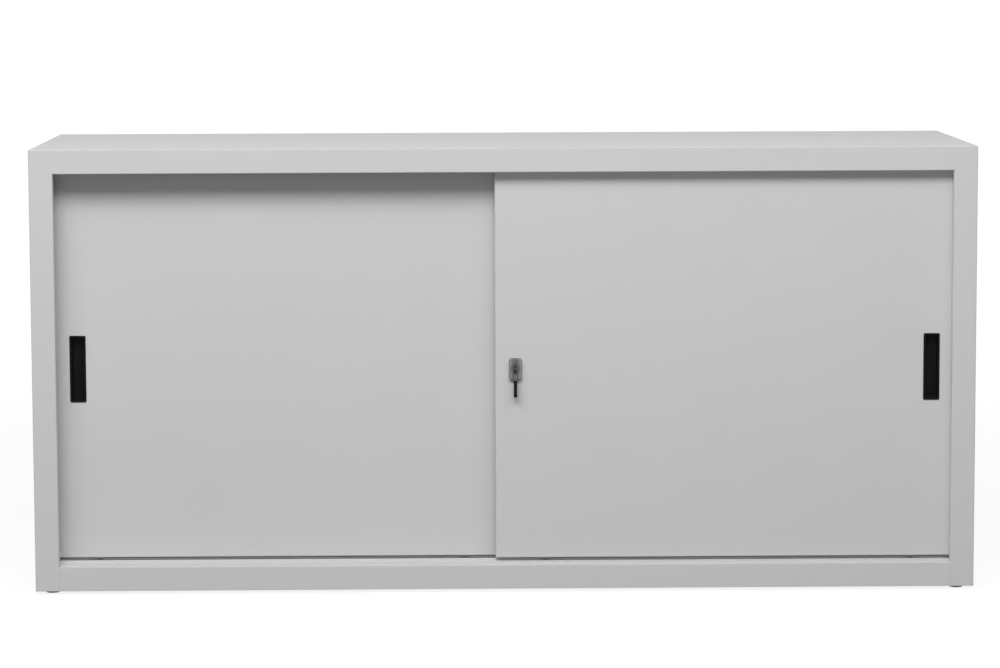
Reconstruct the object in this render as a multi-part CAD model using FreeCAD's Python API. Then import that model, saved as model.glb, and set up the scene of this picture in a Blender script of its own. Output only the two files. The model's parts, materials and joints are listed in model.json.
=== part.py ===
"""Low steel cabinet with two sliding doors, one fixed-height shelf and a cam lock.

Millimetres. +X is the width, +Y goes from the front to the back, +Z is up.
The origin is on the floor, under the middle of the cabinet.
The left door runs in the rear lane, the right door in the front lane.
"""
import FreeCAD
import Part
import math
import os

V = FreeCAD.Vector
X = V(1, 0, 0)
Y = V(0, 1, 0)
Z = V(0, 0, 1)

# ---------------------------------------------------------------- driving sizes
# how far a cutting tool runs past the face that it cuts
past = 1.0

# carcass
width = 1500.0
depth = 465.0
height = 710.0
foot_gap = 5.0
sheet = 0.8
bend = 1.8
stile_width = 38.0
top_rail = 39.0
base_rail = 38.0
lip_depth = 14.0
ledge_depth = 11.0
ledge_step = 3.5
base_return = 12.0
rear_flange = 16.0

# doors
door_overlap = 30.0
door_thickness = 17.0
door_return = 12.0
door_recess = 15.5
door_pitch = 24.5
door_bottom_gap = 5.8
door_top_cover = 13.0
edge_behind_stile = 18.0
stiffener_width = 60.0
stiffener_depth = 13.0
stiffener_foot = 14.0
stiffener_end_gap = 1.5

# tracks and running gear
rib_height = 4.0
rib_width = 2.4
track_margin = 6.5
wheel_radius = 12.5
wheel_groove_radius = 10.0
wheel_width = 8.0
wheel_groove = 3.8
wheel_inset = 80.0
wheel_slot_gap = 1.0
groove_flare = 0.6
rolling_gap = 0.3
axle_radius = 2.5
axle_head = 1.0
axle_head_radius = 4.0
running_clearance = 0.05
bracket_sheet = 1.2
bracket_length = 34.0
bracket_tab = 9.0
bracket_gap = 0.8
bracket_roof_gap = 1.2
upper_track_drop = 14.0
upper_track_sheet = 1.2
upper_track_foot = 6.0
guide_length = 20.0
guide_width = 6.0
guide_side_gap = 0.5
guide_reach = 18.0
guide_foot = 8.0
guide_flange = 3.0
guide_flange_side = 1.5
guide_inset = 60.0

# stops
buffer_radius = 6.0
buffer_flange_radius = 8.5
buffer_flange = 2.0
buffer_nose = 1.5
buffer_inset = 80.0
seat_gap = 0.3
stop_length = 12.0
stop_drop = 10.0

# recessed pulls
pull_width = 26.0
pull_height = 107.0
pull_proud = 1.2
pull_rim = 3.2
pull_depth = 12.0
pull_wall = 1.5
pull_corner = 2.0
pull_well_corner = 1.0
pull_inset = 49.0
pull_park_gap = 11.0
cut_gap = 0.3

# lock
lock_inset = 32.0
lock_width = 20.5
lock_height = 34.0
lock_proud = 6.0
lock_corner = 3.5
lock_edge = 1.2
barrel_radius = 9.0
barrel_gap = 0.1
plug_radius = 6.5
plug_collar_radius = 7.5
plug_collar = 1.0
nut_flats = 24.0
nut_thickness = 4.0
cam_gap = 1.5
cam_sheet = 2.0
cam_width = 12.0
cam_reach = 20.0
cam_screw_radius = 4.0
cam_screw_head = 2.0
cam_screw_shank = 1.6
cam_screw_length = 4.5
strike_sheet = 1.5
strike_lug = 3.0
strike_side_gap = 0.8
strike_low = 11.0
strike_high = 20.0
strike_front_gap = 1.2
strike_length = 22.0
strike_plate_margin = 4.0
strike_rivet_radius = 2.5
strike_rivet_head = 1.0
strike_rivet_edge = 4.5

# key
keyway_width = 2.0
keyway_height = 8.0
keyway_depth = 19.0
key_sheet = 1.8
key_blade_height = 7.6
key_blade_length = 18.0
key_eye_radius = 3.0
key_eye_gap = 0.5
key_pin_radius = 1.0
key_cheek = 1.0
key_cheek_gap = 0.1
key_neck_length = 24.0
key_neck_width = 5.0
key_fork_room = 2.0
key_grip_start = 18.0
key_grip_shoulder = 25.5
key_grip_end = 45.0
key_grip_sheet = 5.4
key_grip_wall_gap = 1.8
key_grip_front_gap = 1.0
key_grip_corner = 3.8
key_collar_wall = 0.35

# shelf and its uprights
upright_width = 24.0
upright_depth = 10.0
upright_sheet = 1.2
upright_top_gap = 12.0
front_upright_setback = 102.0
rear_upright_setback = 42.0
slot_pitch = 30.0
slot_height = 12.0
slot_width = 3.0
slot_margin = 25.0
shelf_slot = 9
clip_sheet = 1.5
clip_width = 20.0
clip_ledge = 15.0
clip_drop = 26.0
clip_hook = 2.4
clip_hook_drop = 3.0
shelf_drop = 25.0
shelf_side_drop = 12.0
shelf_return = 12.0
shelf_front_gap = 10.0
shelf_side_gap = 1.7
shelf_rear_gap = 1.3
rib_channel_width = 50.0
rib_channel_depth = 20.0
rib_channel_foot = 12.0
rib_channel_margin = 10.0

# levelling feet
foot_inset = 25.0
foot_pad_radius = 11.0
foot_pad_height = 4.0
foot_dome = 1.2
stud_radius = 4.0
stud_top = 40.0
stud_neck_radius = 6.0
stud_neck = 2.5
gusset_size = 60.0
gusset_sheet = 2.0
gusset_flange = 20.0
gusset_lift = 4.0
foot_nut_flats = 13.0
foot_nut_height = 6.5

# ---------------------------------------------------------------- worked out
side_x = width / 2
inner_x = side_x - sheet
front_y = -depth / 2
rear_y = depth / 2
body_z = foot_gap
top_z = height
ceiling_z = top_z - sheet
ledge_z = body_z + base_rail
floor_z = ledge_z + ledge_step
opening_x = side_x - stile_width
opening_top = top_z - top_rail
mid_z = (body_z + top_z) / 2
inner_bend = bend - sheet

door_edge_x = opening_x + edge_behind_stile
door_width = door_edge_x + door_overlap / 2
pull_centre = door_edge_x - pull_inset
door_low = floor_z + door_bottom_gap
door_high = opening_top + door_top_cover
lanes = {
    "right_door": front_y + door_recess,
    "left_door": front_y + door_recess + door_pitch,
}
door_left = {
    "right_door": door_edge_x - door_width,
    "left_door": -door_edge_x,
}
lock_x = door_left["right_door"] + lock_inset
lock_axis_y = lanes["right_door"]
gap_front = lanes["right_door"] + door_thickness
gap_rear = lanes["left_door"]
lane_rear = gap_rear + door_thickness
wheel_z = floor_z + rib_height + rolling_gap + wheel_groove_radius
shelf_front = lane_rear + shelf_front_gap


# ---------------------------------------------------------------- helpers
def box(x0, x1, y0, y1, z0, z1):
    return Part.makeBox(x1 - x0, y1 - y0, z1 - z0, V(x0, y0, z0))


def rod(radius, start, axis, length):
    return Part.makeCylinder(radius, length, start, axis)


def prism(points, axis, length):
    """Closed outline of points, extruded along the axis."""
    face = Part.Face(Part.makePolygon(points + [points[0]]))
    return face.extrude(axis * length)


def fuse(*solids):
    whole = solids[0]
    for more in solids[1:]:
        whole = whole.fuse(more)
    return whole.removeSplitter()


def round_edges(solid, radius, wanted):
    """Fillet the straight edges that wanted(middle, direction) picks."""
    picked = []
    for edge in solid.Edges:
        if len(edge.Vertexes) != 2:
            continue
        ends = [v.Point for v in edge.Vertexes]
        chord = (ends[1] - ends[0]).Length
        if chord < 1e-3 or not near(edge.Length, chord):
            continue
        middle = (ends[0] + ends[1]) * 0.5
        along = (ends[1] - ends[0]).normalize()
        if wanted(middle, along):
            picked.append(edge)
    return solid.makeFillet(radius, picked)


def near(a, b):
    return abs(a - b) < 1e-4


def hexagon(flats, centre, axis, length):
    """Hexagonal prism across flats, with its corners turned out of the row axes."""
    corner = flats / math.sqrt(3)
    side = Z if near(abs(axis.y), 1) else Y
    other = axis.cross(side)
    points = []
    for step in range(6):
        angle = math.radians(60 * step)
        points.append(centre + side * (corner * math.cos(angle)) + other * (corner * math.sin(angle)))
    return prism(points, axis, length)


def save(name, shape):
    shape.exportStep("parts/" + name + ".step")


# ---------------------------------------------------------------- carcass sheets
def cavity_solid():
    """The space inside the five outer sheets, with the inner bend radius on its edges."""
    block = box(-inner_x, inner_x, front_y + sheet, rear_y - sheet, body_z - past, ceiling_z)
    return round_edges(block, inner_bend, lambda m, a: not near(m.z, body_z - past))


def carcass_skin(cavity):
    """Outer skin: folded box with a framed front opening and a flanged rear opening."""
    block = box(-side_x, side_x, front_y, rear_y, body_z, top_z)
    block = round_edges(block, bend, lambda m, a: not near(m.z, body_z))
    pocket = box(-opening_x, opening_x, front_y - past, front_y + lip_depth, ledge_z, opening_top)
    block = block.cut(pocket)
    block = round_edges(block, bend, lambda m, a: near(m.y, front_y) and abs(m.x) < opening_x + past
                        and ledge_z - past < m.z < opening_top + past)
    sleeve = box(-opening_x - sheet, opening_x + sheet, front_y - past, front_y + lip_depth,
                 ledge_z - sheet, opening_top + sheet)
    hollow = cavity.cut(sleeve)
    hollow = round_edges(hollow, inner_bend, lambda m, a: near(m.y, front_y + sheet)
                         and abs(m.x) < opening_x + sheet + past
                         and ledge_z - sheet - past < m.z < opening_top + sheet + past)
    rear_hole = box(-side_x + rear_flange, side_x - rear_flange, rear_y - 2 * sheet, rear_y + past,
                    ledge_z, top_z - rear_flange)
    return block.cut(hollow).cut(rear_hole)


def mitre_wedge(corners):
    """Wedge through the whole depth, bounded by the mitre lines of the front frame."""
    points = [V(x, front_y - past, z) for x, z in corners]
    return prism(points, Y, depth + 2 * past)


def beyond(corner, sx, sz):
    """The mitre line, at 45 degrees from the opening's corner, carried past the outer sheets."""
    reach = stile_width + top_rail + base_rail
    return (corner[0] + sx * reach, corner[1] + sz * reach)


def make_carcass():
    cavity = cavity_solid()
    skin = carcass_skin(cavity)
    high = [(s * opening_x, opening_top) for s in (-1, 1)]
    low = [(s * opening_x, ledge_z) for s in (-1, 1)]
    far_high = [beyond(high[i], s, 1) for i, s in enumerate((-1, 1))]
    far_low = [beyond(low[i], s, -1) for i, s in enumerate((-1, 1))]

    floor = box(-inner_x, inner_x, front_y + ledge_depth - sheet, rear_y - sheet,
                floor_z - sheet, floor_z).common(cavity)
    riser = box(-opening_x, opening_x, front_y + ledge_depth - sheet, front_y + ledge_depth,
                ledge_z - sheet, floor_z)
    rails = skin.common(mitre_wedge([far_low[0], far_low[1], low[1], low[0]]))
    rails = rails.cut(box(-side_x, side_x, front_y + ledge_depth, front_y + lip_depth + past,
                          ledge_z - 2 * sheet, ledge_z + past))
    upstand_x = side_x - rear_flange
    upstand = box(-upstand_x, upstand_x, rear_y - sheet, rear_y, ledge_z - sheet, floor_z)
    toe = box(-opening_x, opening_x, front_y + sheet / 2, front_y + base_return, body_z, body_z + sheet)
    base = fuse(rails, riser, floor, upstand, toe)

    save("base_panel", base)
    save("top_panel", skin.common(mitre_wedge([far_high[0], far_high[1], high[1], high[0]])))
    for i, side in enumerate(("left", "right")):
        panel = skin.common(mitre_wedge([far_low[i], far_high[i], high[i], low[i]]))
        save(side + "_side_panel", panel.cut(base))
    back = box(-inner_x, inner_x, rear_y - 2 * sheet, rear_y - sheet, floor_z, ceiling_z).common(cavity)
    save("back_panel", back)
    return cavity


# ---------------------------------------------------------------- shelf uprights and shelf
upright_z0 = floor_z
upright_z1 = ceiling_z - upright_top_gap
first_slot = upright_z0 + slot_margin
slot_count = int((upright_z1 - slot_margin - first_slot) // slot_pitch) + 1
clip_slot_z = first_slot + shelf_slot * slot_pitch
clip_top = clip_slot_z + slot_height / 2
shelf_top = clip_top + shelf_side_drop
upright_face = inner_x - upright_depth
front_upright_y = front_y + front_upright_setback
rear_upright_y = rear_y - rear_upright_setback
back_face = rear_y - 2 * sheet


def upright_at_left():
    """Slotted channel, its two flanges on a wall at x = 0 and its web towards +X."""
    half = upright_width / 2
    outer = box(0, upright_depth, -half, half, upright_z0, upright_z1)
    inner = box(-past, upright_depth - upright_sheet, -half + upright_sheet, half - upright_sheet,
                upright_z0 - past, upright_z1 + past)
    channel = outer.cut(inner)
    slots = []
    for index in range(slot_count):
        z = first_slot + index * slot_pitch
        slots.append(box(upright_depth - 2 * upright_sheet, upright_depth + past,
                         -slot_width / 2, slot_width / 2, z - slot_height / 2, z + slot_height / 2))
    return channel.cut(Part.makeCompound(slots))


def clip_at_left():
    """Shelf clip on the web at x = upright_depth: plate, ledge and a hook through one slot."""
    half = clip_width / 2
    face = upright_depth
    plate = box(face, face + clip_sheet, -half, half, clip_top - clip_drop, clip_top)
    ledge = box(face, face + clip_ledge, -half, half, clip_top - clip_sheet, clip_top)
    tongue_half = slot_width / 2 - running_clearance
    low = clip_slot_z - slot_height / 2
    behind = face - upright_sheet
    tongue = box(behind - clip_hook, face + clip_sheet / 2, -tongue_half, tongue_half,
                 low, low + slot_height / 2)
    hook = box(behind - clip_hook, behind, -tongue_half, tongue_half,
               low - clip_hook_drop, low + slot_height / 2)
    return fuse(plate, ledge, tongue, hook)


def stand(shape, turn, x, y):
    """Copy of a piece made against the left wall, turned about Z and moved to its wall."""
    placed = shape.copy()
    placed.rotate(V(0, 0, 0), Z, turn)
    placed.translate(V(x, y, 0))
    return placed


def make_uprights():
    upright = upright_at_left()
    clip = clip_at_left()
    seats = {
        "left_front_upright": (0, -inner_x, front_upright_y),
        "left_rear_upright": (0, -inner_x, rear_upright_y),
        "right_front_upright": (180, inner_x, front_upright_y),
        "right_rear_upright": (180, inner_x, rear_upright_y),
        "middle_rear_upright": (-90, 0, back_face),
    }
    clips = []
    for name, (turn, x, y) in seats.items():
        save(name, stand(upright, turn, x, y))
        clips.append(stand(clip, turn, x, y))
    save("shelf_clips", Part.makeCompound(clips))


def make_shelf():
    half = upright_face - clip_sheet - shelf_side_gap
    rear = back_face - upright_depth - clip_sheet - shelf_rear_gap
    top = box(-half, half, shelf_front, rear, shelf_top - sheet, shelf_top)
    pieces = [top]
    for y0, y1, lip0, lip1 in (
        (shelf_front, shelf_front + sheet, shelf_front, shelf_front + shelf_return),
        (rear - sheet, rear, rear - sheet, rear),
    ):
        drop = shelf_drop if near(y0, shelf_front) else shelf_side_drop
        pieces.append(box(-half, half, y0, y1, shelf_top - drop, shelf_top))
        pieces.append(box(-half, half, lip0, lip1, shelf_top - drop, shelf_top - drop + sheet))
    for s in (-1, 1):
        x0 = min(s * half, s * (half - sheet))
        pieces.append(box(x0, x0 + sheet, shelf_front, rear, shelf_top - shelf_side_drop, shelf_top))
    save("shelf", fuse(*pieces))

    middle = (shelf_front + rear) / 2
    under = shelf_top - sheet
    long_half = half - sheet - rib_channel_margin
    save("shelf_stiffener", hat_channel(rib_channel_width, rib_channel_depth, rib_channel_foot, sheet,
                                        V(-long_half, middle, under), X, Y, Z * -1, 2 * long_half))


def hat_channel(crown, rise, foot, wall, origin, along, across, out, length):
    """Hat section: two feet in the plane of the origin, crown standing out by rise."""
    def at(a, o):
        return origin + across * a + out * o
    half = crown / 2
    outline = [
        at(-half - foot, 0), at(-half, 0), at(-half, rise - wall), at(half, rise - wall),
        at(half, 0), at(half + foot, 0), at(half + foot, wall), at(half + wall, wall),
        at(half + wall, rise), at(-half - wall, rise), at(-half - wall, wall), at(-half - foot, wall),
    ]
    return prism(outline, along, length)


# ---------------------------------------------------------------- tracks and stops
def rib_y(door):
    return lanes[door] + door_thickness / 2


def make_tracks():
    strip = box(-inner_x + bend, inner_x - bend, rib_y("right_door") - track_margin,
                rib_y("left_door") + track_margin, floor_z, floor_z + sheet)
    pieces = [strip]
    for door in lanes:
        y = rib_y(door)
        straight = rib_height - rib_width / 2
        pieces.append(box(-inner_x + bend, inner_x - bend, y - rib_width / 2, y + rib_width / 2,
                          floor_z, floor_z + straight))
        pieces.append(rod(rib_width / 2, V(-inner_x + bend, y, floor_z + straight), X,
                          2 * (inner_x - bend)))
    save("lower_track", fuse(*pieces))

    angles = [guide_angle(door, s) for door in lanes for s in (-1, 1)]
    save("upper_track", Part.makeCompound(angles))


def guide_angle(door, s):
    """Angle under the ceiling: its wall bounds the door's slot, its foot turns away from the slot."""
    face = rib_y(door) + s * (guide_width / 2 + guide_side_gap)
    wall = upper_track_sheet
    foot = wall + upper_track_foot
    low = upper_track_drop
    outline = ((0, 0), (foot, 0), (foot, wall), (wall, wall), (wall, low), (0, low))
    points = [V(-inner_x + bend, face + s * across, ceiling_z - drop) for across, drop in outline]
    return prism(points, X, 2 * (inner_x - bend))


def buffer(side, door, z):
    """Rubber buffer on a side panel, its nose one seat gap short of the door's edge."""
    length = inner_x - door_edge_x - seat_gap
    start = V(side * inner_x, rib_y(door), z)
    axis = X * -side
    body = rod(buffer_radius, start, axis, length)
    flange = rod(buffer_flange_radius, start, axis, buffer_flange)
    return round_nose(fuse(body, flange), start + axis * length, buffer_nose)


def round_nose(solid, tip, radius):
    """Fillet the circular edge centred on the tip."""
    rings = [e for e in solid.Edges if len(e.Vertexes) == 1 and (e.CenterOfMass - tip).Length < 1e-3]
    return solid.makeFillet(radius, rings)


def make_stops():
    """Buffers for both doors' edges, and the block that keeps the left door's pull in reach."""
    for door, name in (("right_door", "front_lane_buffers"), ("left_door", "rear_lane_buffers")):
        sides = (-1, 1) if door == "right_door" else (-1,)
        heights = (door_low + buffer_inset, door_high - buffer_inset)
        group = [buffer(s, door, z) for s in sides for z in heights]
        save(name, Part.makeCompound(group))
    guide_right = door_left["left_door"] + door_width - guide_inset + guide_length / 2
    travel = door_left["right_door"] - pull_park_gap + pull_centre - pull_width / 2
    x = guide_right + travel + seat_gap
    y = rib_y("left_door")
    block = box(x, x + stop_length, y - guide_width / 2 - guide_side_gap,
                y + guide_width / 2 + guide_side_gap, ceiling_z - stop_drop, ceiling_z)
    save("travel_stop", block)


# ---------------------------------------------------------------- doors
def wheel_xs(door):
    left = door_left[door]
    return (left + wheel_inset, left + door_width - wheel_inset)


def guide_xs(door):
    left = door_left[door]
    return (left + guide_inset, left + door_width - guide_inset)


def pull_x(door):
    return pull_centre if door == "right_door" else -pull_centre


def door_pan(door):
    """Folded pan: face, four returns and four rear lips."""
    left = door_left[door]
    right = left + door_width
    face = lanes[door]
    rear = face + door_thickness
    block = box(left, right, face, rear, door_low, door_high)
    block = round_edges(block, bend, lambda m, a: near(m.y, face))
    hollow = box(left + sheet, right - sheet, face + sheet, rear - sheet, door_low + sheet, door_high - sheet)
    hollow = round_edges(hollow, inner_bend, lambda m, a: near(m.y, face + sheet))
    window = box(left + door_return, right - door_return, rear - 2 * sheet, rear + past,
                 door_low + door_return, door_high - door_return)
    pan = block.cut(hollow).cut(window)

    cuts = []
    x = pull_x(door)
    half_w = pull_width / 2 - pull_rim + pull_wall + cut_gap
    half_h = pull_height / 2 - pull_rim + pull_wall + cut_gap
    cuts.append(box(x - half_w, x + half_w, face - past, face + 2 * sheet, mid_z - half_h, mid_z + half_h))
    y = rib_y(door)
    for x in wheel_xs(door):
        half = wheel_radius + wheel_slot_gap
        side = wheel_width / 2 + wheel_slot_gap
        cuts.append(box(x - half, x + half, y - side, y + side, door_low - past, door_low + 2 * sheet))
    for x in guide_xs(door):
        half = guide_length / 2 + running_clearance
        cuts.append(box(x - half, x + half, y - guide_width / 2 - running_clearance,
                        y + guide_width / 2 + running_clearance, door_high - 2 * sheet, door_high + past))
    if door == "right_door":
        cuts.append(rod(barrel_radius + barrel_gap, V(lock_x, face - past, mid_z), Y, 2 * sheet + past))
    return pan.cut(Part.makeCompound(cuts))


def door_stiffener(door):
    face = lanes[door] + sheet
    middle = door_left[door] + door_width / 2
    low = door_low + sheet + stiffener_end_gap
    high = door_high - sheet - stiffener_end_gap
    return hat_channel(stiffener_width, stiffener_depth, stiffener_foot, sheet,
                       V(middle, face, low), Z, X, Y, high - low)


def wheel_bracket(x, door):
    """Downward channel over the wheel, with two tabs on the pan's bottom return."""
    y = rib_y(door)
    seat = door_low + sheet
    inner = wheel_width / 2 + bracket_gap
    outer = inner + bracket_sheet
    top = wheel_z + wheel_radius + bracket_roof_gap + bracket_sheet
    half = bracket_length / 2
    block = box(x - half, x + half, y - outer, y + outer, seat, top)
    block = block.cut(box(x - half - past, x + half + past, y - inner, y + inner, seat - past,
                          top - bracket_sheet))
    tabs = [box(a, a + bracket_tab, y - outer, y + outer, seat, seat + bracket_sheet)
            for a in (x - half - bracket_tab, x + half)]
    body = fuse(block, *tabs)
    return body.cut(rod(axle_radius, V(x, y - outer - past, wheel_z), Y, 2 * (outer + past)))


def wheel(x, door):
    """Grooved roller: its flanges straddle the rib, its groove rides on it."""
    y = rib_y(door)
    half = wheel_width / 2
    groove = wheel_groove / 2
    bore = axle_radius + running_clearance
    outline = [
        (bore, -half), (wheel_radius, -half), (wheel_radius, -groove - groove_flare),
        (wheel_groove_radius, -groove), (wheel_groove_radius, groove),
        (wheel_radius, groove + groove_flare), (wheel_radius, half), (bore, half),
    ]
    points = [V(x + r, y + a, wheel_z) for r, a in outline]
    face = Part.Face(Part.makePolygon(points + [points[0]]))
    return face.revolve(V(x, y, wheel_z), Y, 360)


def axle(x, door):
    y = rib_y(door)
    outer = wheel_width / 2 + bracket_gap + bracket_sheet
    shaft = rod(axle_radius, V(x, y - outer, wheel_z), Y, 2 * outer)
    heads = [rod(axle_head_radius, V(x, y - outer - axle_head, wheel_z), Y, axle_head),
             rod(axle_head_radius, V(x, y + outer, wheel_z), Y, axle_head)]
    return fuse(shaft, *heads)


def top_guide(x, door):
    """Nylon guide: blade up in the track, flanged foot clipped under the pan's top return."""
    y = rib_y(door)
    half = guide_length / 2
    w = guide_width / 2
    blade = box(x - half, x + half, y - w, y + w, door_high - sheet - guide_foot, door_high + guide_reach)
    foot = box(x - half - guide_flange, x + half + guide_flange, y - w - guide_flange_side,
               y + w + guide_flange_side, door_high - sheet - guide_foot, door_high - sheet)
    blade = round_edges(blade, w / 2, lambda m, a: near(abs(a.z), 1))
    return fuse(blade, foot)


def rounded_block(x, z, w, h, y0, y1, corner):
    block = box(x - w / 2, x + w / 2, y0, y1, z - h / 2, z + h / 2)
    return round_edges(block, corner, lambda m, a: near(abs(a.y), 1))


def recessed_pull(door):
    """Moulded pull: thin rim on the door's face, open cup through the skin."""
    x = pull_x(door)
    face = lanes[door]
    rim = rounded_block(x, mid_z, pull_width, pull_height, face - pull_proud, face, pull_corner)
    rim = round_edges(rim, pull_proud / 2, lambda m, a: near(m.y, face - pull_proud))
    cup_w = pull_width - 2 * pull_rim
    cup_h = pull_height - 2 * pull_rim
    cup = rounded_block(x, mid_z, cup_w + 2 * pull_wall, cup_h + 2 * pull_wall,
                        face, face + pull_depth + pull_wall, pull_corner)
    well = rounded_block(x, mid_z, cup_w, cup_h, face - pull_proud - past, face + pull_depth,
                         pull_well_corner)
    return fuse(rim, cup).cut(well)


def make_doors():
    for door in lanes:
        save(door + "_panel", door_pan(door))
        save(door + "_stiffener", door_stiffener(door))
        save(door + "_pull", recessed_pull(door))
        for side, x in zip(("left", "right"), wheel_xs(door)):
            save(door + "_" + side + "_bracket", wheel_bracket(x, door))
            save(door + "_" + side + "_wheel", wheel(x, door))
            save(door + "_" + side + "_axle", axle(x, door))
        save(door + "_guides", Part.makeCompound([top_guide(x, door) for x in guide_xs(door)]))


# ---------------------------------------------------------------- lock, on the right door
lock_face = lock_axis_y - lock_proud
plug_rear = gap_front + cam_gap
pivot_y = lock_face - key_eye_gap - key_eye_radius


def make_lock():
    body = rounded_block(lock_x, mid_z, lock_width, lock_height, lock_face, lock_axis_y, lock_corner)
    body = round_edges(body, lock_edge, lambda m, a: near(m.y, lock_face))
    barrel = rod(barrel_radius, V(lock_x, lock_axis_y, mid_z), Y, door_thickness)
    bore = rod(plug_radius + running_clearance, V(lock_x, lock_face - past, mid_z), Y,
               lock_proud + door_thickness + 2 * past)
    mouth = rod(plug_collar_radius + running_clearance, V(lock_x, lock_face - past, mid_z), Y,
                past + plug_collar + running_clearance)
    save("lock_housing", fuse(body, barrel).cut(bore).cut(mouth))

    start = V(lock_x, lock_axis_y + sheet, mid_z)
    nut = hexagon(nut_flats, start, Y, nut_thickness)
    save("lock_nut", nut.cut(rod(barrel_radius, start - Y * past, Y, nut_thickness + 2 * past)))

    front = V(lock_x, lock_face, mid_z)
    plug = fuse(rod(plug_radius, front, Y, plug_rear - lock_face),
                rod(plug_collar_radius, front, Y, plug_collar))
    keyway = box(lock_x - keyway_width / 2, lock_x + keyway_width / 2, lock_face - past,
                 lock_face + keyway_depth, mid_z - keyway_height / 2, mid_z + keyway_height / 2)
    screw_hole = rod(cam_screw_shank, V(lock_x, plug_rear - cam_screw_length + cam_sheet, mid_z),
                     Y, cam_screw_length)
    save("lock_plug", plug.cut(keyway).cut(screw_hole))

    cam_y = plug_rear
    half = cam_width / 2
    arm = box(lock_x, lock_x + cam_reach, cam_y, cam_y + cam_sheet, mid_z - half, mid_z + half)
    arm = round_edges(arm, half / 2, lambda m, a: near(abs(a.y), 1) and near(m.x, lock_x + cam_reach))
    hub = rod(half, V(lock_x, cam_y, mid_z), Y, cam_sheet)
    hole = rod(cam_screw_shank, V(lock_x, cam_y - past, mid_z), Y, cam_sheet + 2 * past)
    save("lock_cam", fuse(arm, hub).cut(hole))
    shank = rod(cam_screw_shank, V(lock_x, cam_y + cam_sheet - cam_screw_length, mid_z), Y,
                cam_screw_length)
    head = rod(cam_screw_radius, V(lock_x, cam_y + cam_sheet, mid_z), Y, cam_screw_head)
    save("cam_screw", fuse(shank, head))


def make_key():
    """Folding key: blade in the keyway, forked neck and grip hanging from its pivot."""
    half = key_sheet / 2
    blade = box(lock_x - half, lock_x + half, lock_face - key_eye_gap - key_eye_radius,
                lock_face + key_blade_length, mid_z - key_blade_height / 2, mid_z + key_blade_height / 2)
    blade = blade.cut(box(lock_x - 2 * half, lock_x + 2 * half, pivot_y - key_eye_radius,
                          lock_face - key_eye_gap / 2, mid_z - key_blade_height, mid_z - key_eye_radius))
    blade = blade.cut(box(lock_x - 2 * half, lock_x + 2 * half, pivot_y - key_eye_radius,
                          lock_face - key_eye_gap / 2, mid_z + key_eye_radius, mid_z + key_blade_height))
    eye = rod(key_eye_radius, V(lock_x - half, pivot_y, mid_z), X, key_sheet)
    hole = rod(key_pin_radius + running_clearance, V(lock_x - half - past, pivot_y, mid_z), X,
               key_sheet + 2 * past)
    save("key_blade", fuse(blade, eye).cut(hole))

    outer = half + key_cheek_gap + key_cheek
    pin = rod(key_pin_radius, V(lock_x - outer, pivot_y, mid_z), X, 2 * outer)
    save("key_pin", pin)

    y0 = pivot_y - key_neck_width / 2
    y1 = pivot_y + key_neck_width / 2
    neck = box(lock_x - outer, lock_x + outer, y0, y1, mid_z - key_neck_length, mid_z)
    boss = rod(key_neck_width / 2, V(lock_x - outer, pivot_y, mid_z), X, 2 * outer)
    fork = box(lock_x - half - key_cheek_gap, lock_x + half + key_cheek_gap, y0 - past, y1 + past,
               mid_z - key_eye_radius - key_fork_room, mid_z + key_eye_radius + past)
    neck = fuse(neck, boss).cut(fork)
    neck = neck.cut(rod(key_pin_radius, V(lock_x - outer - past, pivot_y, mid_z), X,
                        2 * (outer + past)))
    save("key_neck", neck)

    gh = key_grip_sheet / 2
    far_y = lock_axis_y - key_grip_wall_gap
    near_y = front_y + key_grip_front_gap
    collar = box(lock_x - gh, lock_x + gh, y0 - key_collar_wall, y1,
                 mid_z - key_grip_shoulder - past, mid_z - key_grip_start)
    paddle = box(lock_x - gh, lock_x + gh, near_y, far_y, mid_z - key_grip_end,
                 mid_z - key_grip_shoulder)
    paddle = round_edges(paddle, key_grip_corner, lambda m, a: near(abs(a.x), 1))
    grip = fuse(collar, paddle)
    socket = box(lock_x - outer, lock_x + outer, y0, y1, mid_z - key_neck_length, mid_z)
    save("key_grip", grip.cut(socket))


def make_strike():
    """Lug on the left door that the raised cam stands behind when the lock is shut."""
    face = gap_rear
    right = lock_x - cam_width / 2 - strike_side_gap
    z0 = mid_z + strike_low
    z1 = mid_z + strike_high
    plate = box(right - strike_length, right, face - strike_sheet, face, z0 - strike_plate_margin,
                z1 + strike_plate_margin)
    lug = box(right - strike_lug, right, gap_front + strike_front_gap, face, z0, z1)
    save("strike_plate", fuse(plate, lug))
    rivets = []
    for x in (right - strike_length + strike_rivet_edge, right - strike_length / 2):
        head = rod(strike_rivet_radius, V(x, face - strike_sheet - strike_rivet_head, (z0 + z1) / 2), Y,
                   strike_rivet_head)
        rivets.append(head)
    save("strike_rivets", Part.makeCompound(rivets))


# ---------------------------------------------------------------- levelling feet
gusset_z = body_z + gusset_lift
foot_corners = {
    "front_left": (-1, -1),
    "front_right": (1, -1),
    "rear_left": (-1, 1),
    "rear_right": (1, 1),
}


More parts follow.
